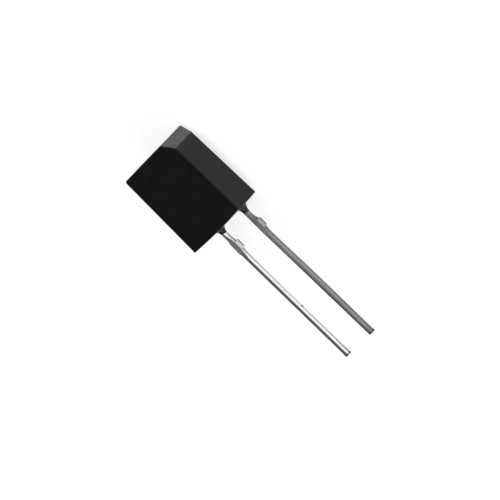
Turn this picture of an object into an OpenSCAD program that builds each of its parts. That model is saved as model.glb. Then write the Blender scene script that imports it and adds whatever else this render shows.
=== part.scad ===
// Side-view photodiode: a flat-fronted black epoxy casting on two stamped leads.
// The part lies on its back. X runs across the two leads, +Y points from the lead tips to the
// top of the casting, and +Z is the direction that the photodiode looks in.
// Every piece is drawn with Y = 0 at the crown of the casting's base, and then placed so that
// the origin lies under the middle of the whole part.

/* [Casting] */
// Width of the casting across the leads, at its base
body_w = 5.08; // [4.8:0.01:6.5]
// Height of the casting from the crown of its base to its top
body_h = 6.9; // [6.4:0.1:9]
// Depth of the casting from back to front, at its base
body_d = 4.0; // [3.6:0.1:5.5]
// Mould draft of the front and the two sides, in degrees
draft = 1.0; // [0:0.1:2]
// Width of the bevel along each rear edge
back_bevel = 1.0; // [0.6:0.05:1.2]
// Width of the cut corner that marks the cathode
cut_w = 0.70; // [0.4:0.05:1.2]
// Height of the cut corner that marks the cathode
cut_h = 0.83; // [0.4:0.05:1.2]
// Radius of the moulded edges
edge_r = 0.06; // [0.03:0.01:0.2]
// Radius of the domed base, where the resin set in the open mouth of the mould
dome_r = 42; // [25:1:90]
// Height that the resin climbs up each lead
meniscus_h = 0.42; // [0.2:0.01:0.8]
// Width of the resin foot around each lead
meniscus_w = 0.28; // [0.15:0.01:0.6]

/* [Lead frame] */
// Distance between the middles of the two leads
lead_pitch = 2.54; // [2.0:0.01:3.2]
// Length of the leads below the crown of the base
lead_l = 12.3; // [4:0.1:25]
// Width of each lead
lead_w = 0.44; // [0.3:0.01:0.6]
// Thickness of the strip that the lead frame is stamped from
strip_t = 0.44; // [0.25:0.01:0.5]
// Radius of the coined edges along the outer leads
coin_r = 0.15; // [0.03:0.01:0.16]
// Height of the strip's middle above the back of the casting
strip_z = 1.63; // [1.3:0.01:2.2]
// Distance from the base to the stubs of the sheared tie bar
stub_gap = 1.3; // [0.8:0.05:3]
// Length of each stub along the lead
stub_l = 0.72; // [0.4:0.02:1.2]
// Reach of the longer stub, on the cathode's side of each lead
stub_long = 0.09; // [0.05:0.01:0.4]
// Reach of the shorter stub, on the anode's side of each lead, where 0 leaves it off
stub_short = 0; // [0:0.01:0.4]
// Width of the widened anchor that each lead has inside the casting
anchor_w = 0.7; // [0.5:0.05:1]
// Distance from the base to the anchors
anchor_y = 0.7; // [0.5:0.05:1]
// Length of the anode's anchor, which is also its bond post
post_l = 0.7; // [0.5:0.05:0.9]
// Gap between the bond post and the chip pad
post_gap = 0.3; // [0.2:0.05:0.6]
// Radius of the stamped corners
stamp_r = 0.12; // [0.05:0.01:0.2]

/* [Chip] */
// Side of the square silicon chip
chip_w = 3.0; // [1.5:0.1:3.4]
// Thickness of the chip
chip_t = 0.28; // [0.15:0.01:0.4]
// Least margin of the chip pad around the chip
pad_margin = 0.15; // [0.1:0.01:0.3]
// Thickness of the adhesive under the chip
attach_t = 0.02; // [0.01:0.005:0.06]
// Margin of the adhesive squeezed out around the chip
attach_margin = 0.06; // [0.02:0.01:0.1]
// Distance of the bonded ball from the chip's edges
bond_inset = 0.2; // [0.1:0.01:0.4]
// Diameter of the gold bond wire
wire_d = 0.03; // [0.02:0.005:0.05]
// Height of the wire's loop above the chip
loop_h = 0.25; // [0.15:0.01:0.5]
// Diameter of the bonded ball
ball_d = 0.09; // [0.07:0.01:0.12]
// Height of the bonded ball
ball_h = 0.045; // [0.03:0.005:0.06]
// Length of the flattened stitch on the bond post
stitch_l = 0.1; // [0.06:0.01:0.15]

/* [Hidden] */
$fn = 48;

// Largest coined edge that a lead's wall leaves room for, as a share of that wall
coin_limit = 0.45;
// Thin slice that stands for a flat section in a hull
slice = 0.001;
// Depth that the meniscus and the block reach past the base, so that they join with no seam
overlap = 0.3;
// Thickness of resin where the meniscus ends on the lead
film = 0.012;
// Step of the meniscus curve, in degrees
curve_step = 15;
// Facets around the domed base and around the moulded edges
dome_facets = 256;
edge_facets = 24;
// Sides of the bond wire, and rings along its loop
wire_sides = 8;
loop_rings = 14;
// Outline of the bonded ball: share of its height, and share of its diameter there
ball_outline = [[0, 0.8], [0.3, 1], [0.7, 0.8]];
// Outline of the stitch: share of its length, then half width and half height in wire radii
stitch_outline = [[0.4, 1.6, 0.7], [1, 2.2, 0.3]];
// Where the wire's curve is pulled to: how far along its run, and how high for a loop of height 1
pull_ahead = 0.45;
pull_up = 1.45;

// Where the pieces lie. The chip pad has room for the chip and reaches across to its own lead.
lead_x = lead_pitch / 2;
strip_back = strip_z - strip_t / 2;
strip_front = strip_z + strip_t / 2;
pad_w = max(chip_w + 2 * pad_margin, lead_pitch + anchor_w);
pad_y = anchor_y + post_l + post_gap;
lead_root = anchor_y + post_l / 2;
chip_y = pad_y + (pad_w - chip_w) / 2;
chip_back = strip_front + attach_t;
chip_front = chip_back + chip_t;

// Ends of the bond wire: a ball on the chip's corner and a stitch in the middle of the post
ball_at = [bond_inset - chip_w / 2, chip_y + bond_inset, chip_front];
stitch_at = [-lead_x, anchor_y + post_l / 2, strip_front];

// Section of the casting at height y: half its width, and the depth of its front
function half_w(y) = body_w / 2 - y * tan(draft);
function front_z(y) = body_d - y * tan(draft);

// Moves a piece from the base's crown to the part's own origin
module placed() translate([0, (lead_l - body_h) / 2, 0]) children();

// Turns an outline in X and Z so that it is extruded along Y, from y towards the lead tips
module along_lead(y, length)
    translate([0, y, 0]) rotate([90, 0, 0]) linear_extrude(length) children();

// Rectangle with round corners, from its lower left corner
module rounded(size, r) {
    translate([r, 0]) square([size.x - 2 * r, size.y]);
    translate([0, r]) square([size.x, size.y - 2 * r]);
    for (x = [r, size.x - r], y = [r, size.y - r]) translate([x, y]) circle(r);
}

// Section of the casting at height y, with its two rear bevels
module section(y) {
    w = half_w(y);
    polygon([[w, front_z(y)], [-w, front_z(y)], [-w, back_bevel], [back_bevel - w, 0],
             [w - back_bevel, 0], [w, back_bevel]]);
}

// Drafted block with its cut corner, all its faces moved in by the edge radius
module block_core() {
    top = body_h - edge_r;
    slope = [cut_h, cut_w] / norm([cut_h, cut_w]);
    corner = [half_w(body_h) - cut_w, body_h];
    difference() {
        hull() {
            along_lead(top, slice) offset(delta = -edge_r) section(body_h);
            along_lead(-overlap, slice) offset(delta = -edge_r) section(-overlap);
        }
        translate([corner.x - slope.x * edge_r, corner.y - slope.y * edge_r, 0])
            rotate([0, 0, atan2(slope.y, slope.x)])
                translate([0, -body_h, -body_d]) cube([body_h, 2 * body_h, 3 * body_d]);
    }
}

// Resin that wets a lead: an astroid curve turned about the lead
module meniscus() {
    lead_r = max(lead_w, strip_t) / 2 + film;
    foot = [for (a = [0:curve_step:90])
        [lead_r + meniscus_w * pow(cos(a), 3), meniscus_h * pow(sin(a), 3)]];
    translate([0, 0, strip_z]) rotate([90, 0, 0]) rotate_extrude()
        polygon(concat([[0, meniscus_h], [0, -overlap], [lead_r + meniscus_w, -overlap]], foot));
}

// Lead outside the casting: a coined bar with the square stubs of the sheared tie bar
module outer_lead() {
    coin = min(coin_r, coin_limit * min(lead_w, strip_t));
    short_side = stub_short > 0 ? lead_w / 2 + stub_short : 0;
    long_side = lead_w / 2 + stub_long;
    translate([0, 0, strip_z - strip_t / 2]) {
        along_lead(lead_root, lead_l + lead_root)
            translate([-lead_w / 2, 0]) rounded([lead_w, strip_t], coin);
        translate([-short_side, -stub_gap - stub_l, 0]) cube([short_side + long_side, stub_l, strip_t]);
    }
}

module cathode_frame() {
    translate([lead_x, 0, 0]) outer_lead();
    translate([0, 0, strip_back]) linear_extrude(strip_t) {
        translate([-pad_w / 2, pad_y]) rounded([pad_w, pad_w], stamp_r);
        translate([lead_x - anchor_w / 2, anchor_y])
            rounded([anchor_w, pad_y - anchor_y + pad_w / 2], stamp_r);
    }
}

module anode_frame() {
    translate([-lead_x, 0, 0]) outer_lead();
    translate([-lead_x - anchor_w / 2, anchor_y, strip_back]) linear_extrude(strip_t)
        rounded([anchor_w, post_l], stamp_r);
}

module chip_block() translate([-chip_w / 2, chip_y, chip_back]) cube([chip_w, chip_w, chip_t]);

module attach_layer() {
    side = chip_w + 2 * attach_margin;
    translate([-side / 2, chip_y - attach_margin, strip_front]) linear_extrude(attach_t)
        rounded([side, side], attach_margin);
}

// Point at share t of a cubic curve
function bezier(p, t) =
    pow(1 - t, 3) * p[0] + 3 * pow(1 - t, 2) * t * p[1] + 3 * (1 - t) * t * t * p[2] + pow(t, 3) * p[3];

// Direction of a cubic curve at share t
function bezier_way(p, t) =
    let (d = pow(1 - t, 2) * (p[1] - p[0]) + 2 * (1 - t) * t * (p[2] - p[1]) + t * t * (p[3] - p[2]))
    d / norm(d);

// Gold wire: rings carried from the ball up, over and down to the stitch, in one upright plane.
// Each ring has its middle, its way forward, and its half width and half height.
module wire_loop() {
    r = wire_d / 2;
    up = [0, 0, 1];
    run = [stitch_at.x - ball_at.x, stitch_at.y - ball_at.y, 0];
    ahead = run / norm(run);
    across = cross(up, ahead);
    lift = ball_at + up * ball_h;
    land = stitch_at - ahead * stitch_l / 2 + up * r;
    pull = up * (chip_front + loop_h * pull_up - lift.z);
    curve = [lift, lift + pull, lift + pull + run * pull_ahead, land];
    ball = [for (share = ball_outline)
        [ball_at + up * ball_h * share[0], up, ball_d / 2 * share[1], ball_d / 2 * share[1]]];
    loop = [for (i = [0:loop_rings])
        [bezier(curve, i / loop_rings), bezier_way(curve, i / loop_rings), r, r]];
    stitch = [for (share = stitch_outline)
        [land + ahead * stitch_l * share[0] - up * r * (1 - share[2]), ahead, r * share[1], r * share[2]]];
    rings = concat(ball, loop, stitch);
    count = len(rings);
    flats = cos(180 / wire_sides);
    points = [for (ring = rings, k = [0:wire_sides - 1])
        let (a = 360 * (k + 0.5) / wire_sides, lean = cross(ring[1], across))
        ring[0] + across * ring[2] * cos(a) / flats + lean * ring[3] * sin(a) / flats];
    walls = [for (i = [0:count - 2], k = [0:wire_sides - 1], half = [0, 1])
        let (a = i * wire_sides + k, b = i * wire_sides + (k + 1) % wire_sides)
        half == 0 ? [a, b + wire_sides, b] : [a, a + wire_sides, b + wire_sides]];
    ends = [[for (k = [0:wire_sides - 1]) k],
            [for (k = [wire_sides - 1:-1:0]) (count - 1) * wire_sides + k]];
    polyhedron(points, concat(walls, ends));
}

// Black casting, set around everything that it holds
module epoxy_body() color([0.05, 0.05, 0.05]) placed() difference() {
    union() {
        intersection() {
            minkowski() {
                block_core();
                sphere(edge_r, $fn = edge_facets);
            }
            translate([0, dome_r, strip_z]) sphere(dome_r, $fn = dome_facets);
        }
        for (x = [-lead_x, lead_x]) translate([x, 0, 0]) meniscus();
    }
    cathode_frame();
    anode_frame();
    attach_layer();
    chip_block();
    wire_loop();
}

// Lead with the pad that carries the chip
module cathode_lead() color([0.8, 0.8, 0.78]) placed() cathode_frame();

// Lead with the post that the wire is stitched to
module anode_lead() color([0.8, 0.8, 0.78]) placed() anode_frame();

// Silicon chip, facing the front
module photodiode_chip() color([0.13, 0.14, 0.22]) placed() chip_block();

// Silver-filled adhesive between the pad and the chip
module die_attach() color([0.62, 0.62, 0.6]) placed() attach_layer();

// Wire from the chip to the bond post
module bond_wire() color([0.9, 0.72, 0.3]) placed() wire_loop();

epoxy_body();
cathode_lead();
anode_lead();
photodiode_chip();
die_attach();
bond_wire();
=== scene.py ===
"""Side-view photodiode: a matt black casting on two tinned leads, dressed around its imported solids.

Lengths are in metres. X runs across the two leads, +Y points from the lead tips to the top of the
casting, and +Z is the way that the photodiode looks. The part lies on its back on a pale floor.
"""
from collections import namedtuple
import bmesh
import bpy
import numpy as np
from mathutils import Matrix, Vector


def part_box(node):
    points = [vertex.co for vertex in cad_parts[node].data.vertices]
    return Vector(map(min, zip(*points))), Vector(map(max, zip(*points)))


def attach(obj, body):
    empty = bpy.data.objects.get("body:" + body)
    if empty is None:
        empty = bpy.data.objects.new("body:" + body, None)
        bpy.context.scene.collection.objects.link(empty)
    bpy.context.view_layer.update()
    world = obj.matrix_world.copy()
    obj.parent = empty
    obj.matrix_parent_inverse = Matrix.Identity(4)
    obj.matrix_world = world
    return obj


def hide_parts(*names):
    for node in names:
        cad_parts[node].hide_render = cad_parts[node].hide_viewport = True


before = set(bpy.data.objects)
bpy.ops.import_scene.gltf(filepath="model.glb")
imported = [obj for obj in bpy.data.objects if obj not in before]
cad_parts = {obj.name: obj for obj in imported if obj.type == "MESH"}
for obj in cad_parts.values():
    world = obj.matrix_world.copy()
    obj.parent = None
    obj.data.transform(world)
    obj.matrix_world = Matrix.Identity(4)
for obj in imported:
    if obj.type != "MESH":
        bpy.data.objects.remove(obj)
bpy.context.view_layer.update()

MM = 0.001

# Casting
BODY_W = 5.08 * MM
BODY_D = 4.0 * MM
DRAFT_ANGLE = 1.0
DRAFT = np.tan(np.radians(DRAFT_ANGLE))
BACK_BEVEL = 1.0 * MM
CUT_W = 0.70 * MM
CUT_H = 0.83 * MM
EDGE_R = 0.06 * MM
TOP_CORNER_R = 0.18 * MM
CORNER_SOFTENING = 0.005 * MM
RIM_R = 0.025 * MM
DOME_R = 42.0 * MM

# Resin that climbs down the leads
MENISCUS_W = 0.30 * MM
MENISCUS_POWER = 4.0
MENISCUS_LEAN = 1.0
MENISCUS_TILT = 0.2
DROP_POWER = 3
RESIN_FILM = 0.008 * MM

# Lead frame
LEAD_PITCH = 2.54 * MM
LEAD_L = 12.3 * MM
LEAD_W = 0.44 * MM
COIN_R = 0.15 * MM
NECK_R = 0.19 * MM
NECK_RAMP = 0.35 * MM
STAMP_R = 0.03 * MM
TIP_R = 0.03 * MM
TIP_FLARE = 0.04 * MM
CUT_BURR = 0.17 * MM
ANCHOR_W = 0.7 * MM
ANCHOR_Y = 0.7 * MM
PAD_Y = 1.7 * MM
POST_GAP = 0.3 * MM

# Stub of the sheared tie bar on each lead
STUB_GAP = 1.3 * MM
STUB_L = 0.72 * MM
STUB_LONG = 0.09 * MM
STUB_CORNER = 0.05 * MM
STUB_DRAG = 0.04 * MM
SWELL_RAMP = 0.32 * MM
COIN_FADE = 0.40 * MM
FRONT_FADE = 0.90 * MM

# Marks on the leads
# LINE_* and FRONT_LINE_* size dark lines of painted shade: on the sides for the lead's shadow mirrored from
# the floor, on the cathode's front where it mirrors the dark flag
LINE_DEPTH = 0.06 * MM
LINE_HALF = 0.06 * MM
LINE_FAINTEST = 0.65
LINE_WIDENS = 0.6
LINE_START = 0.15 * MM
FRONT_LINE_X = -0.06 * MM
FRONT_LINE_FAINTEST = 0.25
FRONT_LINE_FULL = 0.7
FRACTURE_DEPTH = 0.12 * MM
FRACTURE_START = 0.8
TORN_TIP = 0.85
MARK_STEEPNESS = 2
NICK_STEEPNESS = 3
NICK_FROM_TIP = 4.62 * MM
NICK_HEIGHT = 0.19 * MM
NICK_SIZE = 0.08 * MM
NICK_SPAN = 3 * NICK_SIZE
NICK_DEPTH = 0.04 * MM

# Bond wire
WIRE_D = 0.03 * MM
BALL_D = 0.09 * MM
BALL_H = 0.045 * MM
BALL_WIDEST = 0.4
BALL_SWELL = 0.7
BOND_INSET = 0.2 * MM
LOOP_H = 0.25 * MM
PULL_UP = 1.45
PULL_AHEAD = 0.45
STITCH_L = 0.1 * MM
STITCH_SINK = 0.35
STITCH_WIDER = 1.2
STITCH_FLATTER = 0.7

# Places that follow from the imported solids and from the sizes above
body_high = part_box("epoxy_body")[1]
anode_low, anode_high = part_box("anode_lead")
cathode_low, cathode_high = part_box("cathode_lead")
chip_low, chip_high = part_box("photodiode_chip")
CROWN_Y = anode_low.y + LEAD_L
BODY_H = body_high.y - CROWN_Y
STRIP_BACK = anode_low.z
STRIP_FRONT = anode_high.z
STRIP_Z = (STRIP_BACK + STRIP_FRONT) / 2
LEAD_X = LEAD_PITCH / 2
STUB_HIGH = -STUB_GAP
STUB_LOW = STUB_HIGH - STUB_L
STUB_MIDDLE = (STUB_HIGH + STUB_LOW) / 2

# Cut corner: its run for each rise of 1, the way that it faces, and the heights of its two arc middles
CUT_RUN = CUT_W / CUT_H
CUT_LENGTH = np.hypot(CUT_W, CUT_H)
CUT_ACROSS = CUT_H / CUT_LENGTH
CUT_UP = CUT_W / CUT_LENGTH
CUT_LOW_OFFSET = EDGE_R * (1 - 1 / CUT_ACROSS) - CUT_W
CUT_LOW = BODY_H + CUT_LOW_OFFSET / (CUT_RUN - DRAFT)
CUT_HIGH = BODY_H - EDGE_R
CUT_FACE_FADE = 0.3 * EDGE_R

# A lead has its place, its inner end, half the width of its pad or none, how far the resin climbs down it,
# the share by which the resin's foot is narrower on the anode's side, the swelling opposite its stub, how
# much slimmer its neck is, the bow of its side below the stub, its sideways set at the base, past the stub
# and at the tip, the height above the strip's middle of the painted dark line on its sides, the strength of
# the painted dark line on its front, and whether it is nicked.
Lead = namedtuple("Lead", "x top pad_half climb narrow swell slim bow sets line front_line nicked")
ANODE = Lead(
    x=-LEAD_X,
    top=anode_high.y - CROWN_Y,
    pad_half=None,
    climb=0.38 * MM,
    narrow=0.0,
    swell=0.06 * MM,
    slim=0.012 * MM,
    bow=0.0,
    sets=(0.010 * MM, -0.027 * MM, -0.046 * MM),
    line=0.0,
    front_line=0.0,
    nicked=True)
CATHODE = Lead(
    x=LEAD_X,
    top=cathode_high.y - CROWN_Y,
    pad_half=-cathode_low.x,
    climb=0.45 * MM,
    narrow=0.4,
    swell=0.0,
    slim=0.035 * MM,
    bow=0.035 * MM,
    sets=(0.002 * MM, -0.013 * MM, 0.057 * MM),
    line=0.06 * MM,
    front_line=0.9,
    nicked=False)


# Surfaces

MERGE_DISTANCE = 2e-8
LEAST_EDGE = 1e-9
FLAT_LIMIT = 0.5
END_CAP = [0.9, 0.5, 0]


def rounded_outline(angles, reach, radius, arc_steps, side_steps):
    """Outlines of a many-sided section with round corners, one outline for each row.

    Side i faces the angle angles[i], in degrees, and lies reach[:, i] from the axis. Corner i, of the sides
    i and i + 1, has the radius radius[:, i]: both sides moved in by it cross in the middle of its arc. The
    outline runs round each arc from one side's angle to the next, and takes side_steps[i] equal steps along
    side i between two arcs. It starts with corner 0. The result has the shape (rows, columns, 2).
    """
    start = np.radians(angles)
    stop = np.radians(np.append(angles[1:], angles[0] + 360))
    facing = np.stack([np.cos(start), np.sin(start)], -1)
    crossing = np.linalg.inv(np.stack([facing, np.roll(facing, -1, 0)], 1))
    pairs = np.stack([reach, np.roll(reach, -1, 1)], -1) - radius[..., None]
    middles = np.einsum("cij,rcj->rci", crossing, pairs)
    turn = start[:, None] + (stop - start)[:, None] * np.linspace(0, 1, arc_steps + 1)
    arcs = middles[:, :, None] + radius[..., None, None] * np.stack([np.cos(turn), np.sin(turn)], -1)
    stretches = []
    for corner in range(len(angles)):
        side = (corner + 1) % len(angles)
        share = np.linspace(0, 1, side_steps[side] + 1)[1:-1, None]
        leave, arrive = arcs[:, corner, -1:], arcs[:, side, :1]
        stretches += [arcs[:, corner], leave + (arrive - leave) * share]
    return np.concatenate(stretches, 1)


def side_middle(side, arc_steps, side_steps):
    """Column of an outline that lies in the middle of a side, counted from the corner of sides 0 and 1."""
    on_arcs = side * (arc_steps + 1)
    on_sides = sum(steps - 1 for steps in side_steps[1:side])
    return on_arcs + on_sides + side_steps[side] // 2 - 1


def closing_rows(row, shares):
    """Rows that draw an end row in to its own middle, to the given shares of its size."""
    middle = row.mean(0)
    return middle + (row - middle) * np.array(shares)[:, None, None]


def grid_faces(rows, columns, first=0, turned=False):
    """Quads between the rows of a grid whose columns run round in a ring, from vertex number first."""
    row, column = np.meshgrid(np.arange(rows - 1), np.arange(columns), indexing="ij")
    a = first + row * columns + column
    b = first + row * columns + (column + 1) % columns
    ring = [a, b, b + columns, a + columns] if turned else [a, a + columns, b + columns, b]
    return np.stack(ring, -1).reshape(-1, 4)


def smooth_step(value):
    """Rise from 0 to 1 with level ends, s^2 (3 - 2 s), where s is the value held between 0 and 1."""
    share = np.clip(value, 0, 1)
    return share * share * (3 - 2 * share)


def arc_inset(y, middle, radius):
    """How far an arc draws a side in at the height h above the arc's middle: r - sqrt(r^2 - h^2)."""
    rise = np.clip(y - middle, 0, radius)
    return radius - np.sqrt(radius ** 2 - rise ** 2)


def make_piece(name, grids, marks, material, node):
    """One closed piece from grids of points, each (rows, columns, 3) with a flag that turns its faces.

    marks names a value at every point, which the piece's material reads. Rows that shrink to a point, and
    edges that two grids share, are merged.
    """
    points = np.concatenate([grid.reshape(-1, 3) for grid, _ in grids])
    starts = np.cumsum([0] + [grid.shape[0] * grid.shape[1] for grid, _ in grids])
    faces = np.concatenate([grid_faces(*grid.shape[:2], first, turned)
                            for (grid, turned), first in zip(grids, starts)])
    mesh = bpy.data.meshes.new(name)
    mesh.from_pydata(points.tolist(), [], faces.tolist())
    for label, values in marks.items():
        mesh.attributes.new(label, "FLOAT", "POINT").data.foreach_set("value", values.astype(np.float32))
    work = bmesh.new()
    work.from_mesh(mesh)
    bmesh.ops.remove_doubles(work, verts=work.verts, dist=MERGE_DISTANCE)
    bmesh.ops.dissolve_degenerate(work, edges=work.edges, dist=LEAST_EDGE)
    work.to_mesh(mesh)
    work.free()
    mesh.shade_smooth()
    mesh.materials.append(material)
    piece = bpy.data.objects.new(name, mesh)
    bpy.context.scene.collection.objects.link(piece)
    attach(piece, "root")
    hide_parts(node)
    return piece


def keep_flat(piece, label):
    """Flat faces shade flat up to their rounded edges, at the points whose mark is below a limit."""
    marks = np.zeros(len(piece.data.vertices), np.float32)
    piece.data.attributes[label].data.foreach_get("value", marks)
    walls = piece.vertex_groups.new(name="flat_walls")
    walls.add(np.flatnonzero(marks < FLAT_LIMIT).tolist(), 1.0, "ADD")
    flats = piece.modifiers.new("flat_walls", "WEIGHTED_NORMAL")
    flats.vertex_group = walls.name


# Casting

CASTING_SIDES = [0, 90, 180, 225, 270, 315]
CASTING_ARC_STEPS = 6
CASTING_SIDE_STEPS = [24, 44, 24, 12, 28, 12]
FRONT_SIDE = 1
BACK_SIDE = 4
RIM_ROWS = 4
WALL_START = 0.3 * MM
WALL_ROWS = 14
CUT_ARC_ROWS = 7
CUT_FACE_ROWS = 6
TOP_CORNER_ROWS = 6
TOP_ARC_ROWS = 9
TOP_ARC_END = 84
TOP_CLOSING = [0.985, 0.6, 0.25, 0]
BASE_ROWS = 8
CLIMB_ROWS = 16
SEAM_POINTS = 30
LEAST_COSINE = 1e-9


def half_width(y):
    """Half width of the casting at a height above the crown of its base."""
    return BODY_W / 2 - y * DRAFT


def dome(x, z):
    """Height of the domed base, a sphere whose crown lies between the leads."""
    return DOME_R - np.sqrt(DOME_R ** 2 - x ** 2 - (z - STRIP_Z) ** 2)


def cathode_side_reach(y):
    """Reach of the cathode's side: drafted side, arc, slope of the cut corner, and arc to the top."""
    top_x = half_width(BODY_H) - CUT_W
    low_arc = half_width(CUT_LOW) - arc_inset(y, CUT_LOW, EDGE_R)
    slope = top_x + (BODY_H - y) * CUT_RUN
    high_x = top_x + EDGE_R * (1 + CUT_RUN - 1 / CUT_ACROSS)
    high_arc = high_x - arc_inset(y, CUT_HIGH, EDGE_R)
    levels = [y < CUT_LOW, y < CUT_LOW + EDGE_R * CUT_UP, y < CUT_HIGH + EDGE_R * CUT_UP]
    return np.select(levels, [half_width(y), low_arc, slope], high_arc)


def wall_heights():
    """Heights of the rows above the rim, closer together on the arcs of the cut corner and of the top."""
    cut_arc = np.linspace(0, np.arcsin(CUT_UP), CUT_ARC_ROWS)
    top_arc = np.radians(np.linspace(0, TOP_ARC_END, TOP_ARC_ROWS))
    corner_start = BODY_H - TOP_CORNER_R
    return np.concatenate([
        np.linspace(WALL_START, CUT_LOW, WALL_ROWS)[:-1],
        CUT_LOW + EDGE_R * np.sin(cut_arc),
        np.linspace(CUT_LOW + EDGE_R * CUT_UP, corner_start, CUT_FACE_ROWS)[1:],
        np.linspace(corner_start, CUT_HIGH, TOP_CORNER_ROWS)[1:-1],
        CUT_HIGH + EDGE_R * np.sin(top_arc)])


def casting_walls():
    """Walls and top of the casting: six-sided drafted sections carried up from the rim of the base.

    The lowest rows follow the dome and turn the rim on a small arc. The top rows draw the section in on the
    edge's arc, with a larger arc on the anode's side. The last rows close the flat top.
    """
    turn = np.radians(np.linspace(0, 90, RIM_ROWS))
    heights = wall_heights()
    y = np.concatenate([RIM_R * (1 - np.cos(turn)), heights])
    rim = np.concatenate([RIM_R * (1 - np.sin(turn)), np.zeros(len(heights))])
    top = arc_inset(y, BODY_H - EDGE_R, EDGE_R)
    inset = rim + top
    cathode_side = cathode_side_reach(y) - rim
    anode_side = half_width(y) - np.maximum(inset, arc_inset(y, BODY_H - TOP_CORNER_R, TOP_CORNER_R))
    front = BODY_D - y * DRAFT - inset
    bevel = (half_width(y) - BACK_BEVEL) / np.sqrt(2) - inset
    reach = np.stack([cathode_side, front, anode_side, bevel, -inset, bevel], 1)
    radius = np.repeat((EDGE_R - top + CORNER_SOFTENING)[:, None], len(CASTING_SIDES), 1)
    outline = rounded_outline(CASTING_SIDES, reach, radius, CASTING_ARC_STEPS, CASTING_SIDE_STEPS)
    x, z = outline[..., 0], outline[..., 1]
    on_rim = np.arange(len(y))[:, None] < RIM_ROWS
    level = np.where(on_rim, dome(x, z) + y[:, None], y[:, None])
    walls = np.stack([x, CROWN_Y + level, z], -1)
    return np.concatenate([walls, closing_rows(walls[-1], TOP_CLOSING)])


def on_cut_face(points):
    """1 at the points on the flat of the cut corner, and 0 past its rounded edges."""
    x = points[:, 0] - half_width(BODY_H) + CUT_W
    y = points[:, 1] - CROWN_Y - BODY_H
    off_plane = np.abs(CUT_ACROSS * x + CUT_UP * y)
    return 1 - smooth_step(off_plane / CUT_FACE_FADE)


def neck_reach(ray, half_x, half_z):
    """Distance from the middle of a lead's neck to its coined section, in the direction of each ray."""
    across, deep = np.abs(ray[:, 0]), np.abs(ray[:, 1])
    flat = np.minimum(half_x / np.maximum(across, LEAST_COSINE), half_z / np.maximum(deep, LEAST_COSINE))
    arc_x, arc_z = half_x - NECK_R, half_z - NECK_R
    along = arc_x * across + arc_z * deep
    corner = along + np.sqrt(np.maximum(along ** 2 - arc_x ** 2 - arc_z ** 2 + NECK_R ** 2, 0))
    return np.minimum(flat, corner)


def base_fan(boundary, lead):
    """Half of the base: rays from its boundary in to a lead, which the resin climbs.

    Along each ray the base first follows the dome. Then the resin climbs down the lead on a hollow curve:
    with the angle a from 0 to 90 degrees it stands w cos^p a from the lead and h sin^3 a down it. Towards
    the cathode's side p falls and h grows, so the resin is fuller there, and w grows on the lead whose foot
    is narrow. A lid closes it inside the lead.
    """
    axis = np.array([lead.x + lead.sets[0] - lead.slim / 2, STRIP_Z])
    away = boundary - axis
    distance = np.hypot(away[:, 0], away[:, 1])
    ray = away / distance[:, None]
    skin = neck_reach(ray, (LEAD_W - lead.slim) / 2, LEAD_W / 2) + RESIN_FILM
    power = MENISCUS_POWER - MENISCUS_LEAN * ray[:, 0]
    tilt = MENISCUS_TILT * ray[:, 0]
    width = MENISCUS_W * (1 - lead.narrow * (1 - ray[:, 0]) / 2)
    flat = distance + (skin + width - distance) * np.linspace(0, 1, BASE_ROWS)[:-1, None]
    a = np.radians(np.linspace(0, 90, CLIMB_ROWS))[:, None]
    climb = skin + width * np.cos(a) ** power
    lid = np.array(END_CAP)[:, None]
    from_lead = np.concatenate([flat, climb, skin * lid])
    fall = np.concatenate([0 * flat, (1 + tilt) * np.sin(a) ** DROP_POWER, 1 + tilt * lid])
    x = axis[0] + ray[:, 0] * from_lead
    z = axis[1] + ray[:, 1] * from_lead
    return np.stack([x, CROWN_Y + dome(x, z) - lead.climb * fall, z], -1)


def make_casting(material):
    """Casting: its walls and top, and two fans that make the base around the leads."""
    walls = casting_walls()
    rim = walls[0][:, [0, 2]]
    front = side_middle(FRONT_SIDE, CASTING_ARC_STEPS, CASTING_SIDE_STEPS)
    back = side_middle(BACK_SIDE, CASTING_ARC_STEPS, CASTING_SIDE_STEPS)
    share = np.linspace(0, 1, SEAM_POINTS)[1:-1, None]
    seam = rim[back] + (rim[front] - rim[back]) * share
    anode_half = base_fan(np.concatenate([rim[front:back + 1], seam]), ANODE)
    cathode_half = base_fan(np.concatenate([rim[back:], rim[:front + 1], seam[::-1]]), CATHODE)
    grids = [(walls, False), (anode_half, True), (cathode_half, True)]
    points = np.concatenate([grid.reshape(-1, 3) for grid, _ in grids])
    wall_points = walls.shape[0] * walls.shape[1]
    set_free = np.ones(len(points))
    set_free[len(rim):wall_points] = 0
    # cut_face marks where the material paints the cut face lighter, as a painted reflection
    marks = {"set_free": set_free, "cut_face": on_cut_face(points)}
    piece = make_piece("casting", grids, marks, material, "epoxy_body")
    keep_flat(piece, "set_free")


# Leads

LEAD_SIDES = [0, 90, 180, 270]
LEAD_ARC_STEPS = 8
LEAD_SIDE_STEPS = [8, 16, 8, 16]
END_ARC_STEPS = 4
BAR_ROWS = 90
BURR_ROWS = 9
STUB_ROWS = 110
NICK_ROWS = 33
WIDENING_ROWS = 9


def on_stub(y):
    """1 along the stub of the tie bar and 0 past it, with smooth ramps inside its two ends."""
    return smooth_step((y - STUB_LOW) / STUB_CORNER) * smooth_step((STUB_HIGH - y) / STUB_CORNER)


def below_stub(y):
    """Share of the way from the stub to the tip, 0 above it."""
    return np.clip((STUB_LOW - y) / (LEAD_L + STUB_LOW), 0, 1)


def past_stub(y, ramp):
    """0 along the stub, rising to 1 over a ramp past its two ends."""
    return smooth_step((np.abs(y - STUB_MIDDLE) - STUB_L / 2) / ramp)


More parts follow.
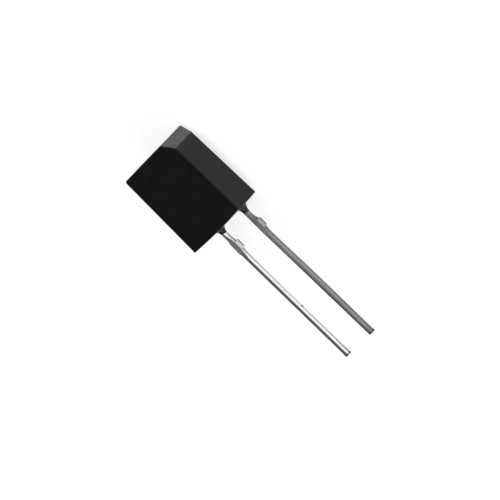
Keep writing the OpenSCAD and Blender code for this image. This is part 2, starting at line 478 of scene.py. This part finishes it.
def lead_rows(top):
    """Heights of a lead's rows, and how far each is drawn in.

    Rows lie closer together at the cut tip, the stub, the nick and where the frame widens. Both ends turn
    in on a small arc.
    """
    turn = np.radians(np.linspace(0, 90, END_ARC_STEPS + 1))[:-1]
    drawn_in = TIP_R * (1 - np.sin(turn))
    past_end = TIP_R * (1 - np.cos(turn))
    tip = -LEAD_L + TIP_R
    nick = -LEAD_L + NICK_FROM_TIP
    straight = np.unique(np.concatenate([
        np.linspace(tip, top - TIP_R, BAR_ROWS),
        np.linspace(tip, tip + CUT_BURR, BURR_ROWS),
        np.linspace(STUB_LOW - COIN_FADE, STUB_HIGH + COIN_FADE, STUB_ROWS),
        np.linspace(nick - NICK_SPAN, nick + NICK_SPAN, NICK_ROWS),
        np.linspace(ANCHOR_Y - STUB_CORNER, ANCHOR_Y + STUB_CORNER, WIDENING_ROWS),
        np.linspace(PAD_Y - STUB_CORNER, PAD_Y + STUB_CORNER, WIDENING_ROWS)]))
    y = np.concatenate([past_end - LEAD_L, straight, top - past_end[::-1]])
    return y, np.concatenate([drawn_in, np.zeros(len(straight)), drawn_in[::-1]])


def lead_limits(y, lead):
    """Left and right edge of a lead at each height: bar, stub, anchor, and pad if it has one."""
    anchor = smooth_step((y - ANCHOR_Y) / STUB_CORNER) * (ANCHOR_W - LEAD_W) / 2
    swell = lead.swell * (1 - past_stub(y, SWELL_RAMP))
    flare = TIP_FLARE * smooth_step((CUT_BURR - LEAD_L - y) / CUT_BURR)
    neck = smooth_step((y - STUB_HIGH) / NECK_RAMP) * smooth_step(1 - y / ANCHOR_Y)
    bow = lead.bow * np.sin(np.pi * below_stub(y)) ** 2
    left = lead.x - LEAD_W / 2 - swell - anchor
    right = lead.x + LEAD_W / 2 + STUB_LONG * on_stub(y) + anchor + flare - lead.slim * neck + bow
    if lead.pad_half:
        widen = smooth_step((y - PAD_Y) / STUB_CORNER)
        left += (-lead.pad_half - left) * widen
        right += (lead.pad_half - right) * widen
    return left, right


def corner_radii(y):
    """Radii of a lead's four corners: coined, rounder above the stub, sharp inside and along the stub."""
    coined = COIN_R + (NECK_R - COIN_R) * smooth_step((y - STUB_HIGH) / NECK_RAMP)
    softened = (coined - STAMP_R) * smooth_step(1 - y / ANCHOR_Y)
    left = STAMP_R + softened
    front_right = STAMP_R + softened * past_stub(y, FRONT_FADE)
    back_right = STAMP_R + softened * past_stub(y, COIN_FADE)
    return np.stack([front_right, left, left, back_right], 1)


def sideways_set(y, at_base, at_stub, at_tip):
    """Sideways set that the shear left: even down to the stub, a step there, and a slant to the tip."""
    leave = smooth_step(1 - y / ANCHOR_Y)
    step = smooth_step((STUB_MIDDLE - y) / STUB_L)
    return at_base * leave + (at_stub - at_base) * step + (at_tip - at_stub) * below_stub(y)


def nick_dent(x, y, z):
    """1 in the middle of the nick on a lead's side, fading as exp(-d^2 / size^2) with the distance d."""
    off_edge = np.hypot(x - LEAD_W / 2, z - STRIP_BACK - NICK_HEIGHT)
    off_nick = y + LEAD_L - NICK_FROM_TIP
    return np.exp(-(off_edge ** 2 + off_nick ** 2) / NICK_SIZE ** 2)


def painted_shade_lines(x, y, z, lead):
    """Dark lines of painted shade along a lead, from 0 to 1.

    The line on its sides is a painted reflection of the lead's shadow on the floor and is faintest halfway.
    The line on its front is painted shade where the front mirrors the dark flag, and is faintest at the
    stub. Each fades as exp(-d^2 / half^2) with the distance d from its middle.
    """
    on_side = smooth_step((np.abs(x) - LEAD_W / 2) / LINE_DEPTH + 1)
    on_front = smooth_step((z - STRIP_FRONT) / LINE_DEPTH + 1)
    to_ends = (1 + 2 * y / LEAD_L) ** 2
    to_tip = smooth_step(below_stub(y) / FRONT_LINE_FULL)
    side_strength = LINE_FAINTEST + (1 - LINE_FAINTEST) * to_ends
    front_strength = lead.front_line * (FRONT_LINE_FAINTEST + (1 - FRONT_LINE_FAINTEST) * to_tip)
    half = LINE_HALF * (1 + LINE_WIDENS * to_ends)
    side = on_side * side_strength * np.exp(-((z - STRIP_Z - lead.line) / half) ** 2)
    front = on_front * front_strength * np.exp(-((x - FRONT_LINE_X) / LINE_HALF) ** 2)
    return np.maximum(side, front) * smooth_step((-lead.climb - y) / LINE_START)


def lead_marks(x, y, z, past, dent, lead):
    """Values for a lead's finish, from 0 to 1: the stub's end, the painted shade lines, and torn or worked
    metal.
    """
    broken = smooth_step((past - FRACTURE_START) / (1 - FRACTURE_START))
    rear = smooth_step(MARK_STEEPNESS * (STRIP_BACK + FRACTURE_DEPTH - z) / FRACTURE_DEPTH)
    burr = TORN_TIP * smooth_step(MARK_STEEPNESS * (CUT_BURR - LEAD_L - y) / CUT_BURR)
    nick = smooth_step(NICK_STEEPNESS * dent)
    marks = {"sheared": smooth_step(MARK_STEEPNESS * past),
             "lines": painted_shade_lines(x, y, z, lead),
             "torn": np.maximum(np.maximum(broken * rear, burr), nick),
             "worked": np.broadcast_to(1 - past_stub(y, FRONT_FADE), x.shape)}
    cap = np.ones((len(END_CAP), x.shape[1]))
    return {label: np.concatenate([cap, values, 0 * cap]).ravel() for label, values in marks.items()}


def make_lead(name, lead, material, node):
    """Lead: a coined bar section carried along Y, from the cut tip to the end inside the casting.

    The shear dragged the stub back, by d s / reach at the distance s past the bar's edge.
    """
    rows, drawn_in = lead_rows(lead.top)
    left, right = lead_limits(rows, lead)
    front, back = np.full_like(rows, STRIP_FRONT), np.full_like(rows, STRIP_BACK)
    reach = np.stack([right, front, -left, -back], 1) - drawn_in[:, None]
    outline = rounded_outline(LEAD_SIDES, reach, corner_radii(rows), LEAD_ARC_STEPS, LEAD_SIDE_STEPS)
    x, y, z = outline[..., 0] - lead.x, rows[:, None], outline[..., 1]
    past = np.clip((x - LEAD_W / 2) / STUB_LONG, 0, 1) * on_stub(y)
    z = z - STUB_DRAG * past
    dent = nick_dent(x, y, z) * lead.nicked
    marks = lead_marks(x, y, z, past, dent, lead)
    x = x + lead.x + sideways_set(y, *lead.sets) - NICK_DEPTH * dent
    bar = np.stack([x, np.broadcast_to(CROWN_Y + y, x.shape), z], -1)
    grid = np.concatenate([closing_rows(bar[0], END_CAP[::-1]), bar, closing_rows(bar[-1], END_CAP)])
    piece = make_piece(name, [(grid, False)], marks, material, node)
    keep_flat(piece, "sheared")


# Bond wire

UP = np.array([0, 0, 1.0])
WIRE_SIDES = 16
BALL_ROWS = 9
LOOP_ROWS = 41
STITCH_ROWS = 7
BALL_SHARES = np.linspace(0, 1, BALL_ROWS)[:-1]
LOOP_SHARES = np.linspace(0, 1, LOOP_ROWS)
STITCH_SHARES = np.linspace(0, 1, STITCH_ROWS)[1:]


def cubic(p, t):
    """Points of a cubic curve at the shares t: (1-t)^3 p0 + 3 (1-t)^2 t p1 + 3 (1-t) t^2 p2 + t^3 p3."""
    return (1 - t) ** 3 * p[0] + 3 * (1 - t) ** 2 * t * p[1] + 3 * (1 - t) * t ** 2 * p[2] + t ** 3 * p[3]


def cubic_way(p, t):
    """Directions of a cubic curve at the shares t: (1-t)^2 (p1-p0) + 2 (1-t) t (p2-p1) + t^2 (p3-p2)."""
    return (1 - t) ** 2 * (p[1] - p[0]) + 2 * (1 - t) * t * (p[2] - p[1]) + t ** 2 * (p[3] - p[2])


def wire_path(ball, stitch):
    """Middles of the wire's rings from ball to stitch, the way that each faces, and the way across them."""
    run = (stitch - ball) * [1, 1, 0]
    ahead = run / np.linalg.norm(run)
    lift = ball + UP * BALL_H
    land = stitch - ahead * STITCH_L / 2 + UP * WIRE_D / 2
    pull = UP * (PULL_UP * LOOP_H - BALL_H)
    curve = np.array([lift, lift + pull, lift + pull + PULL_AHEAD * run, land])
    bulge = BALL_SHARES[:, None]
    share = LOOP_SHARES[:, None]
    flat = STITCH_SHARES[:, None]
    pressed = land + ahead * STITCH_L * flat - UP * WIRE_D * STITCH_SINK * flat
    middles = np.concatenate([ball + UP * BALL_H * bulge, cubic(curve, share), pressed])
    ways = np.concatenate([np.tile(UP, (len(bulge), 1)), cubic_way(curve, share),
                           np.tile(ahead, (len(flat), 1))])
    return middles, ways / np.linalg.norm(ways, axis=1)[:, None], np.cross(UP, ahead)


def wire_halves():
    """Half width and half height of the wire's rings: swollen ball, even loop and pressed stitch."""
    ball = BALL_D / 2 * np.sqrt(np.clip(1 - ((BALL_SHARES - BALL_WIDEST) / BALL_SWELL) ** 2, 0, 1))
    loop = np.full(LOOP_ROWS, WIRE_D / 2)
    half_w = np.concatenate([ball, loop, WIRE_D / 2 * (1 + STITCH_WIDER * STITCH_SHARES)])
    half_h = np.concatenate([ball, loop, WIRE_D / 2 * (1 - STITCH_FLATTER * STITCH_SHARES)])
    return half_w[:, None, None], half_h[:, None, None]


def make_bond_wire(material):
    """Bond wire: a round section carried from the ball on the chip up, over and down to the stitch.

    The way of its middle is a cubic curve, and every ring stands square to that way.
    """
    ball = np.array([chip_low.x + BOND_INSET, chip_low.y + BOND_INSET, chip_high.z])
    stitch = np.array([-LEAD_X, CROWN_Y + (ANCHOR_Y + PAD_Y - POST_GAP) / 2, STRIP_FRONT])
    middles, ways, across = wire_path(ball, stitch)
    half_w, half_h = wire_halves()
    turn = np.linspace(0, 2 * np.pi, WIRE_SIDES, endpoint=False)[None, :, None]
    leans = np.cross(ways, across)[:, None]
    rings = middles[:, None] + across * half_w * np.cos(turn) + leans * half_h * np.sin(turn)
    grid = np.concatenate([closing_rows(rings[0], [0]), rings, closing_rows(rings[-1], [0])])
    make_piece("gold_bond_wire", [(grid, True)], {}, material, "bond_wire")


# Shader nodes

RISE = (0.0, 1.0)
FALL = (1.0, 0.0)
MIX_SHARE = 0
MIX_FIRST = 6
MIX_SECOND = 7
MIX_COLOUR = 2


def add(tree, kind, inputs=None, **settings):
    """Adds a node with its settings. An input takes a value, or a socket that is linked to it."""
    node = tree.nodes.new(kind)
    for label, value in settings.items():
        setattr(node, label, value)
    for label, value in (inputs or {}).items():
        if isinstance(value, bpy.types.NodeSocket):
            tree.links.new(value, node.inputs[label])
        else:
            node.inputs[label].default_value = value
    return node


def math(tree, operation, *values):
    """Result of a math node."""
    return add(tree, "ShaderNodeMath", dict(enumerate(values)), operation=operation).outputs[0]


def remap(tree, value, span, to):
    """A value taken from one span to another, with smooth ends."""
    limits = {"Value": value, "From Min": span[0], "From Max": span[1], "To Min": to[0], "To Max": to[1]}
    return add(tree, "ShaderNodeMapRange", limits, interpolation_type="SMOOTHSTEP").outputs[0]


def mix(tree, share, first, second):
    """Colour between two colours."""
    inputs = {MIX_SHARE: share, MIX_FIRST: first, MIX_SECOND: second}
    inputs = {label: (*value, 1) if isinstance(value, tuple) else value for label, value in inputs.items()}
    return add(tree, "ShaderNodeMix", inputs, data_type="RGBA", clamp_factor=True).outputs[MIX_COLOUR]


def noise(tree, place, scale, detail):
    """Soft noise with a given number of marks to each unit of its place."""
    inputs = {"Vector": place, "Scale": scale, "Detail": detail}
    return add(tree, "ShaderNodeTexNoise", inputs).outputs["Fac"]


def moved(tree, place, middle):
    """Place counted from a new middle."""
    return add(tree, "ShaderNodeVectorMath", {0: place, 1: middle}, operation="SUBTRACT").outputs[0]


def square_distance(tree, place):
    """Distance from the middle of a square, measured square to its sides: max(|x|, |y|)."""
    axes = add(tree, "ShaderNodeSeparateXYZ", {"Vector": place}).outputs
    return math(tree, "MAXIMUM", *(math(tree, "ABSOLUTE", axes[label]) for label in "XY"))


def attribute(tree, label):
    """Value that a piece holds at its points."""
    return add(tree, "ShaderNodeAttribute", attribute_name=label).outputs["Fac"]


def bump(tree, height, depth, strength):
    """Normal of a surface with a height on it, in metres."""
    inputs = {"Height": height, "Distance": depth, "Strength": strength}
    return add(tree, "ShaderNodeBump", inputs).outputs["Normal"]


def link_all(tree, inputs, sources):
    """Links sources to the inputs of the same names."""
    for label, source in sources.items():
        tree.links.new(source, inputs[label])


# Shared effects

FINE_DETAIL = 3.0
BROAD_DETAIL = 4.0
BROAD_SCALE = 0.07
STREAK_DETAIL = 3.0
STREAK_HEIGHT = 0.4
UNEVEN_SIZE = 0.35 * MM
UNEVEN_DETAIL = 2.0
CLOUD_DETAIL = 5.0
CLOUD_SPAN = (0.35, 0.7)
SPECK_GAP = 0.4 * MM
SPECK_SPAN = (0.06, 0.12)


def new_group(name, sizes, results):
    """Node group that takes a place and named sizes, and puts out named values."""
    group = bpy.data.node_groups.new(name, "ShaderNodeTree")
    group.interface.new_socket("Place", in_out="INPUT", socket_type="NodeSocketVector")
    for label in sizes:
        group.interface.new_socket(label, in_out="INPUT", socket_type="NodeSocketFloat")
    for label in results:
        group.interface.new_socket(label, in_out="OUTPUT", socket_type="NodeSocketFloat")
    given = group.nodes.new("NodeGroupInput").outputs
    return group, given, group.nodes.new("NodeGroupOutput").inputs


def fine_grain_group():
    """Fine grain of a moulded or filled surface: a height for bump, and a broad mottle."""
    group, given, out = new_group("fine_grain", ["Scale"], ["Height", "Mottle"])
    broad_scale = math(group, "MULTIPLY", given["Scale"], BROAD_SCALE)
    link_all(group, out, {
        "Height": noise(group, given["Place"], given["Scale"], FINE_DETAIL),
        "Mottle": noise(group, given["Place"], broad_scale, BROAD_DETAIL)})
    return group


def strip_marks_group():
    """Marks along a rolled and plated strip: long streaks, and the slight unevenness of the plating."""
    group, given, out = new_group("strip_marks", ["Width", "Stretch"], ["Streak", "Height"])
    scale = math(group, "DIVIDE", 1.0, given["Width"])
    along = math(group, "DIVIDE", scale, given["Stretch"])
    stretch = add(group, "ShaderNodeCombineXYZ", {"X": scale, "Y": along, "Z": scale}).outputs[0]
    factors = {0: given["Place"], 1: stretch}
    long_place = add(group, "ShaderNodeVectorMath", factors, operation="MULTIPLY").outputs[0]
    streak = noise(group, long_place, 1.0, STREAK_DETAIL)
    uneven = noise(group, given["Place"], 1 / UNEVEN_SIZE, UNEVEN_DETAIL)
    height = math(group, "ADD", math(group, "MULTIPLY", streak, STREAK_HEIGHT), uneven)
    link_all(group, out, {"Streak": streak, "Height": height})
    return group


def tarnish_group():
    """Clouds of tarnish and small dark specks on tin."""
    group, given, out = new_group("tarnish", ["Cloud", "Specks"], ["Cloud", "Speck"])
    cloud = noise(group, given["Place"], math(group, "DIVIDE", 1.0, given["Cloud"]), CLOUD_DETAIL)
    cells = add(group, "ShaderNodeTexVoronoi", {"Vector": given["Place"], "Scale": 1 / SPECK_GAP}).outputs
    speck = remap(group, cells["Distance"], SPECK_SPAN, FALL)
    link_all(group, out, {
        "Cloud": remap(group, cloud, CLOUD_SPAN, RISE),
        "Speck": math(group, "MULTIPLY", speck, given["Specks"])})
    return group


def use_group(tree, group, place, sizes):
    """Outputs of a node group placed in a material with its own sizes."""
    return add(tree, "ShaderNodeGroup", {"Place": place, **sizes}, node_tree=group).outputs


# Finish of the casting
EPOXY_IOR = 1.5
EPOXY_GRAIN = 0.05 * MM
EPOXY_GRAIN_DEPTH = 0.003 * MM
EPOXY_GRAIN_STRENGTH = 0.4
EPOXY_TOP = (0.0120, 0.0120, 0.0120)
EPOXY_BASE = (0.0120, 0.0120, 0.0105)
EPOXY_PALE = (0.0165, 0.0165, 0.0160)
EPOXY_PALE_SHARE = (0.0, 0.5)
EPOXY_MATT = (0.26, 0.34)
EPOXY_FREE_ROUGHNESS = 0.2
EPOXY_SPECULAR = (0.10, 0.33)
# Painted reflection: the cut face is coloured lighter grey in place of the bright floor that it mirrors
CUT_FACE_PAINTED_REFLECTION = (0.095, 0.145)

# Spans of a noise that count as its middle, wide and narrow
MIDDLE = (0.3, 0.7)
CORE = (0.35, 0.65)

# A finish of tin has its metallic share, its bright and dull colour, the share of dull clouds, how far
# worked metal is greyed, the colour of its painted shade lines and of its burnished stub, and its span of
# roughness.
Tin = namedtuple("Tin", "metallic bright dull clouds worked line burnished rough")
BRIGHT_TIN = Tin(
    metallic=1.0,
    bright=(0.98, 0.98, 0.97),
    dull=(0.86, 0.86, 0.85),
    clouds=0.3,
    worked=0.2,
    line=(0.05, 0.05, 0.05),
    burnished=(0.75, 0.75, 0.74),
    rough=(0.08, 0.16))
# A darker, rougher and less metallic copy of the tin, used on the cathode lead
DARKER_TIN = Tin(
    metallic=0.50,
    bright=(0.40, 0.40, 0.395),
    dull=(0.31, 0.31, 0.305),
    clouds=0.7,
    worked=0.0,
    line=(0.08, 0.08, 0.077),
    burnished=(0.60, 0.60, 0.595),
    rough=(0.42, 0.54))
TIN_STREAKS = {"Width": 0.03 * MM, "Stretch": 40.0}
TIN_TARNISH = {"Cloud": 1.2 * MM, "Specks": 0.5}
TIN_STREAK_SPAN = (0.5, 0.8)
TIN_STREAK_SHARE = (0.0, 0.25)
TIN_DEPTH = 0.004 * MM
TIN_STRENGTH = 0.5
SPECK_TIN = (0.12, 0.115, 0.11)
WORKED_TIN = (0.2, 0.2, 0.2)
WORKED_ROUGHER = 0.27
TORN_TIN = (0.09, 0.088, 0.085)
TORN_ROUGHER = 0.3

# Finish of the chip, with the contact ring and the bond pad on its face
CHIP_IOR = 2.0
CHIP_GRAIN = 0.02 * MM
CHIP_DEPTH = 0.001 * MM
CHIP_STRENGTH = 0.2
CHIP_SAWN = (0.16, 0.16, 0.17)
CHIP_COAT = (0.010, 0.014, 0.045)
CHIP_COAT_PALE = (0.014, 0.020, 0.060)
CHIP_METAL = (0.80, 0.80, 0.79)
CHIP_ROUGH = (0.5, 0.16)
CHIP_FACE_SPAN = (0.13 * MM, 0.139 * MM)
RING_OUTSIDE = (0.10 * MM, 0.09 * MM)
RING_INSIDE = (0.16 * MM, 0.15 * MM)
PAD_SPAN = (0.08 * MM, 0.085 * MM)

# Finish of the adhesive
FLAKE_METALLIC = 0.6
FLAKE_SIZE = 0.02 * MM
FLAKE_DEPTH = 0.004 * MM
FLAKE_STRENGTH = 0.6
FLAKE_DARK = (0.30, 0.30, 0.29)
FLAKE_BRIGHT = (0.66, 0.66, 0.64)
FLAKE_ROUGH = (0.6, 0.35)

# Finish of the bond wire
GOLD_STREAKS = {"Width": 0.006 * MM, "Stretch": 20.0}
GOLD_DEPTH = 0.001 * MM
GOLD_STRENGTH = 0.3
GOLD_DEEP = (0.86, 0.62, 0.22)
GOLD_PALE = (0.95, 0.75, 0.36)
GOLD_ROUGH = (0.14, 0.26)


# Materials

def new_material(name, **constants):
    """Material, its Principled shader with these constants, and the object's own coordinates."""
    material = bpy.data.materials.new(name)
    material.use_nodes = True
    tree = material.node_tree
    shader = tree.nodes["Principled BSDF"].inputs
    for label, value in constants.items():
        shader[label].default_value = value
    place = add(tree, "ShaderNodeTexCoord").outputs["Object"]
    return material, tree, shader, place


def black_epoxy(fine_grain):
    """Matt black resin from the mould, warmer towards its base, glossy where it set in the open, and
    painted lighter on the cut face.
    """
    material, tree, shader, place = new_material("black_epoxy", IOR=EPOXY_IOR)
    grain = use_group(tree, fine_grain, place, {"Scale": 1 / EPOXY_GRAIN})
    height = add(tree, "ShaderNodeSeparateXYZ", {"Vector": place}).outputs["Y"]
    warm = remap(tree, height, (CROWN_Y, CROWN_Y + BODY_H), FALL)
    colour = mix(tree, warm, EPOXY_TOP, EPOXY_BASE)
    pale = remap(tree, grain["Mottle"], MIDDLE, EPOXY_PALE_SHARE)
    colour = mix(tree, pale, colour, EPOXY_PALE)
    # Painted reflection: the cut face's lighter grey stands in for the bright floor that it mirrors
    grey = remap(tree, grain["Mottle"], CORE, CUT_FACE_PAINTED_REFLECTION)
    cut = add(tree, "ShaderNodeCombineColor", {"Red": grey, "Green": grey, "Blue": grey}).outputs[0]
    free = attribute(tree, "set_free")
    moulded = math(tree, "SUBTRACT", 1.0, free)
    matt = math(tree, "MULTIPLY", remap(tree, grain["Mottle"], MIDDLE, EPOXY_MATT), moulded)
    gloss = math(tree, "MULTIPLY", free, EPOXY_FREE_ROUGHNESS)
    relief = math(tree, "MULTIPLY", grain["Height"], moulded)
    link_all(tree, shader, {
        "Base Color": mix(tree, attribute(tree, "cut_face"), colour, cut),
        "Roughness": math(tree, "ADD", matt, gloss),
        "Specular IOR Level": remap(tree, free, RISE, EPOXY_SPECULAR),
        "Normal": bump(tree, relief, EPOXY_GRAIN_DEPTH, EPOXY_GRAIN_STRENGTH)})
    return material


def plated_tin(name, finish, strip_marks, tarnish):
    """Tin on rolled strip: streaked and tarnished, burnished where sheared and dark where torn."""
    material, tree, shader, place = new_material(name, Metallic=finish.metallic)
    marks = use_group(tree, strip_marks, place, TIN_STREAKS)
    stain = use_group(tree, tarnish, place, TIN_TARNISH)
    worked = attribute(tree, "worked")
    torn = attribute(tree, "torn")
    clouds = math(tree, "MULTIPLY", stain["Cloud"], finish.clouds)
    streaks = remap(tree, marks["Streak"], TIN_STREAK_SPAN, TIN_STREAK_SHARE)
    colour = mix(tree, clouds, finish.bright, finish.dull)
    colour = mix(tree, streaks, colour, finish.dull)
    colour = mix(tree, stain["Speck"], colour, SPECK_TIN)
    colour = mix(tree, math(tree, "MULTIPLY", worked, finish.worked), colour, WORKED_TIN)
    # Dark lines of painted shade along the lead
    colour = mix(tree, attribute(tree, "lines"), colour, finish.line)
    colour = mix(tree, attribute(tree, "sheared"), colour, finish.burnished)
    rough = remap(tree, marks["Streak"], MIDDLE, finish.rough)
    rough = math(tree, "ADD", rough, math(tree, "MULTIPLY", torn, TORN_ROUGHER))
    rough = math(tree, "ADD", rough, math(tree, "MULTIPLY", worked, WORKED_ROUGHER))
    link_all(tree, shader, {
        "Base Color": mix(tree, torn, colour, TORN_TIN),
        "Roughness": rough,
        "Normal": bump(tree, marks["Height"], TIN_DEPTH, TIN_STRENGTH)})
    return material


def chip_metal(tree, centred, half):
    """1 on the contact ring along the chip's edge and on the bond pad in its corner, 0 elsewhere."""
    from_middle = square_distance(tree, centred)
    ring_out = remap(tree, from_middle, [half - gap for gap in RING_OUTSIDE], FALL)
    ring_in = remap(tree, from_middle, [half - gap for gap in RING_INSIDE], RISE)
    pad_middle = (BOND_INSET - half, BOND_INSET - half, 0)
    from_pad = square_distance(tree, moved(tree, centred, pad_middle))
    ring = math(tree, "MULTIPLY", ring_out, ring_in)
    return math(tree, "MAXIMUM", ring, remap(tree, from_pad, PAD_SPAN, FALL))


def coated_silicon(fine_grain):
    """Chip: sawn grey sides, and a blue-black coated face with a bright contact ring and bond pad."""
    material, tree, shader, place = new_material("coated_silicon", IOR=CHIP_IOR)
    centred = moved(tree, place, (chip_low + chip_high) / 2)
    height = add(tree, "ShaderNodeSeparateXYZ", {"Vector": centred}).outputs["Z"]
    face = remap(tree, height, CHIP_FACE_SPAN, RISE)
    metal = math(tree, "MULTIPLY", chip_metal(tree, centred, (chip_high.x - chip_low.x) / 2), face)
    grain = use_group(tree, fine_grain, place, {"Scale": 1 / CHIP_GRAIN})
    coat = mix(tree, remap(tree, grain["Mottle"], MIDDLE, RISE), CHIP_COAT, CHIP_COAT_PALE)
    link_all(tree, shader, {
        "Base Color": mix(tree, metal, mix(tree, face, CHIP_SAWN, coat), CHIP_METAL),
        "Metallic": metal,
        "Roughness": remap(tree, face, RISE, CHIP_ROUGH),
        "Normal": bump(tree, grain["Height"], CHIP_DEPTH, CHIP_STRENGTH)})
    return material


def silver_adhesive(fine_grain):
    """Adhesive filled with silver flakes, cured to a grainy grey."""
    material, tree, shader, place = new_material("silver_adhesive", Metallic=FLAKE_METALLIC)
    grain = use_group(tree, fine_grain, place, {"Scale": 1 / FLAKE_SIZE})
    flakes = remap(tree, grain["Height"], CORE, RISE)
    link_all(tree, shader, {
        "Base Color": mix(tree, flakes, FLAKE_DARK, FLAKE_BRIGHT),
        "Roughness": remap(tree, flakes, RISE, FLAKE_ROUGH),
        "Normal": bump(tree, grain["Height"], FLAKE_DEPTH, FLAKE_STRENGTH)})
    return material


def drawn_gold(strip_marks):
    """Drawn gold wire, with faint marks of the die."""
    material, tree, shader, place = new_material("drawn_gold", Metallic=1.0)
    marks = use_group(tree, strip_marks, place, GOLD_STREAKS)
    link_all(tree, shader, {
        "Base Color": mix(tree, marks["Streak"], GOLD_DEEP, GOLD_PALE),
        "Roughness": remap(tree, marks["Streak"], MIDDLE, GOLD_ROUGH),
        "Normal": bump(tree, marks["Height"], GOLD_DEPTH, GOLD_STRENGTH)})
    return material


def paint_node(name, material):
    """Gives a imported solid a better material."""
    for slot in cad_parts[name].material_slots:
        slot.material = material


def make_part():
    """Every piece of the photodiode, with its finish."""
    fine_grain = fine_grain_group()
    strip_marks = strip_marks_group()
    tarnish = tarnish_group()
    bright_tin = plated_tin("bright_tin", BRIGHT_TIN, strip_marks, tarnish)
    darker_tin = plated_tin("darker_tin", DARKER_TIN, strip_marks, tarnish)
    make_casting(black_epoxy(fine_grain))
    make_lead("anode_wire", ANODE, bright_tin, "anode_lead")
    make_lead("cathode_wire", CATHODE, darker_tin, "cathode_lead")
    make_bond_wire(drawn_gold(strip_marks))
    paint_node("photodiode_chip", coated_silicon(fine_grain))
    paint_node("die_attach", silver_adhesive(fine_grain))


# Studio

VIEW_TURN = np.radians(33.529)
VIEW_TILT = np.radians(2.075)
VIEW_ROLL = np.radians(45.990)
VIEW_DISTANCE = 300.0 * MM
AIM_RIGHT = -1.2284 * MM
AIM_UP = -0.9569 * MM
LENS = 315.58
SENSOR = 36.0
WHITE = (1, 1, 1, 1)
FLOOR_HALF = 0.6
FLOOR_CORNERS = [(-1, -1, 0), (1, -1, 0), (1, 1, 0), (-1, 1, 0)]
FLOOR_PAPER = (0.92, 0.92, 0.92)
FLOOR_FIBRE = (0.85, 0.85, 0.85)
FIBRE_SHARE = 0.02
FIBRE_SIZE = 0.4 * MM
FIBRE_DETAIL = 3.0
FLOOR_ROUGHNESS = 0.9
FLOOR_IOR = 1.2
FLOOR_GLOW = 0.66
FLOOR_GLOW_MIRRORED = 0.52
SKY_LIGHT = 0.52
SKY_MIRRORED = 1.0
FLAG_SHARE = 0.10
FLAG_WAY = (-0.8, 0.0, 0.6)
FLAG_EDGE = (0.50, 0.80)
SOFTBOX_SIZE = 0.3
SOFTBOX_POWER = 0.5
SOFTBOX_PLACES = {"softbox_top_end": (0.0, 0.45, 0.35), "softbox_tip_end": (0.0, -0.45, 0.35)}


def view_axes():
    """Directions of the view: image right, image up, and towards the camera, rolled about the last."""
    towards = np.array([np.sin(VIEW_TURN) * np.cos(VIEW_TILT), np.sin(VIEW_TILT),
                        np.cos(VIEW_TURN) * np.cos(VIEW_TILT)])
    level = np.array([np.cos(VIEW_TURN), 0, -np.sin(VIEW_TURN)])
    upright = np.cross(towards, level)
    right = np.cos(VIEW_ROLL) * level - np.sin(VIEW_ROLL) * upright
    up = np.sin(VIEW_ROLL) * level + np.cos(VIEW_ROLL) * upright
    return right, up, towards


def make_camera():
    """Long lens that looks down on the front and the cathode's side."""
    right, up, towards = view_axes()
    data = bpy.data.cameras.new("camera")
    data.lens = LENS
    data.sensor_width = SENSOR
    camera = bpy.data.objects.new("camera", data)
    bpy.context.scene.collection.objects.link(camera)
    place = AIM_RIGHT * right + AIM_UP * up + VIEW_DISTANCE * towards
    facing = Matrix(np.stack([right, up, towards], 1)).to_4x4()
    camera.matrix_world = Matrix.Translation(Vector(place)) @ facing
    bpy.context.scene.camera = camera


def mirrored_rays(tree, rays):
    """1 for rays that a surface mirrors or lets through."""
    return math(tree, "MAXIMUM", rays["Is Glossy Ray"], rays["Is Transmission Ray"])


def make_floor():
    """Plain pale floor, level with the back of the part.

    It glows where the camera sees it, so that it is white with a soft shadow, and less in its mirror image.
    """
    mesh = bpy.data.meshes.new("floor")
    mesh.from_pydata((np.array(FLOOR_CORNERS) * FLOOR_HALF).tolist(), [], [[0, 1, 2, 3]])
    floor = bpy.data.objects.new("floor", mesh)
    bpy.context.scene.collection.objects.link(floor)
    material, tree, shader, place = new_material("floor_paper", Roughness=FLOOR_ROUGHNESS, IOR=FLOOR_IOR)
    fibre = math(tree, "MULTIPLY", noise(tree, place, 1 / FIBRE_SIZE, FIBRE_DETAIL), FIBRE_SHARE)
    rays = add(tree, "ShaderNodeLightPath").outputs
    seen = math(tree, "MULTIPLY", rays["Is Camera Ray"], FLOOR_GLOW)
    mirrored = math(tree, "MULTIPLY", mirrored_rays(tree, rays), FLOOR_GLOW_MIRRORED)
    link_all(tree, shader, {
        "Base Color": mix(tree, fibre, FLOOR_PAPER, FLOOR_FIBRE),
        "Emission Strength": math(tree, "ADD", seen, mirrored)})
    shader["Emission Color"].default_value = WHITE
    mesh.materials.append(material)


def make_sky():
    """White studio with a dark flag on the anode's side.

    It is full white where it is seen or mirrored, and lights the part less than that.
    """
    world = bpy.data.worlds.new("studio")
    world.use_nodes = True
    tree = world.node_tree
    way = add(tree, "ShaderNodeTexCoord").outputs["Generated"]
    facing = add(tree, "ShaderNodeVectorMath", {0: way, 1: FLAG_WAY}, operation="DOT_PRODUCT")
    rays = add(tree, "ShaderNodeLightPath").outputs
    seen = math(tree, "MAXIMUM", rays["Is Camera Ray"], mirrored_rays(tree, rays))
    sky = remap(tree, seen, RISE, (SKY_LIGHT, SKY_MIRRORED))
    shade = remap(tree, facing.outputs["Value"], FLAG_EDGE, (1.0, FLAG_SHARE))
    background = tree.nodes["Background"].inputs
    link_all(tree, background, {"Strength": math(tree, "MULTIPLY", sky, shade)})
    background["Color"].default_value = WHITE
    bpy.context.scene.world = world


def make_softboxes():
    """Softbox off each end of the part, turned to it."""
    for name, place in SOFTBOX_PLACES.items():
        lamp = bpy.data.lights.new(name, "AREA")
        lamp.size = SOFTBOX_SIZE
        lamp.energy = SOFTBOX_POWER
        softbox = bpy.data.objects.new(name, lamp)
        bpy.context.scene.collection.objects.link(softbox)
        softbox.location = place
        softbox.rotation_euler = Vector(place).to_track_quat("Z", "Y").to_euler()


make_part()
make_floor()
make_sky()
make_softboxes()
make_camera()
bpy.context.scene.view_settings.view_transform = "Standard"
